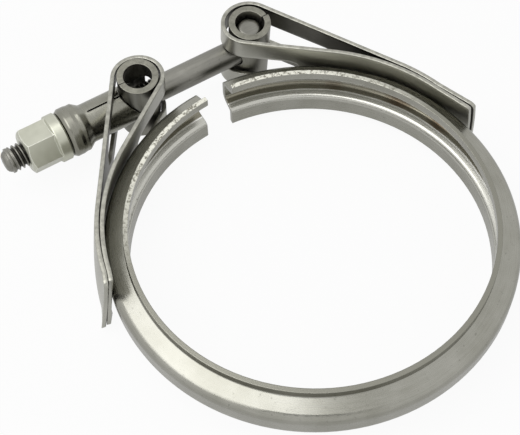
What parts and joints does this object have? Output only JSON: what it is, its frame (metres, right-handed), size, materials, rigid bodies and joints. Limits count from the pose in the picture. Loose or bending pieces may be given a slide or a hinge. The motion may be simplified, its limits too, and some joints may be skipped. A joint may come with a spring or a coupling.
{
  "type": "v band clamp",
  "caption": "Round V section band clamp that squeezes two flanges together, pulled shut by a T bolt, nut and thrust sleeve between two strap-held trunnions.",
  "frame": {"origin": "on the ring's axis, at the middle of the groove's web to within 1 mm, halfway up the band", "axes": "+Z along the ring's axis towards the short lip, +Y through the opening between the band's ends, bolt along X with its nut at -X"},
  "size_m": [0.1264, 0.1378, 0.0252],
  "materials": {
    "band_steel": "brushed round the ring",
    "strap_steel": "satin",
    "tube_steel": "dark satin",
    "bolt_steel": "satin",
    "sleeve_steel": "satin",
    "nut_zinc": "pale plating, dull"
  },
  "bodies": {
    "clamp_band": {"v_band": "band_steel", "strap_head_side": "strap_steel", "strap_nut_side": "strap_steel"},
    "t_bolt_set": {"t_bolt": "bolt_steel", "trunnion_tube_head_side": "tube_steel", "trunnion_tube_nut_side": "tube_steel"},
    "sleeve": {"thrust_sleeve": "sleeve_steel"},
    "nut": {"flange_nut": "nut_zinc"}
  },
  "joints": [
    {"name": "bolt_swing", "type": "hinge", "parent": "clamp_band", "child": "t_bolt_set", "pos_m": [0.0213, 0.0693, 0], "axis": [0, -0.1045, 0.9945], "range_deg": [-0.4, 0.4]},
    {"name": "sleeve_slide", "type": "slide", "parent": "t_bolt_set", "child": "sleeve", "axis": [-1, 0, 0], "range_m": [0, 0.00423]},
    {"name": "nut_turn", "type": "hinge", "parent": "sleeve", "child": "nut", "pos_m": [-0.05, 0.0693, 0], "axis": [-1, 0, 0], "range_deg": [0, 1080]}
  ],
  "couplings": [
    {"joint": "nut_turn", "follows": "sleeve_slide", "rad_per_m": 4452.6}
  ]
}
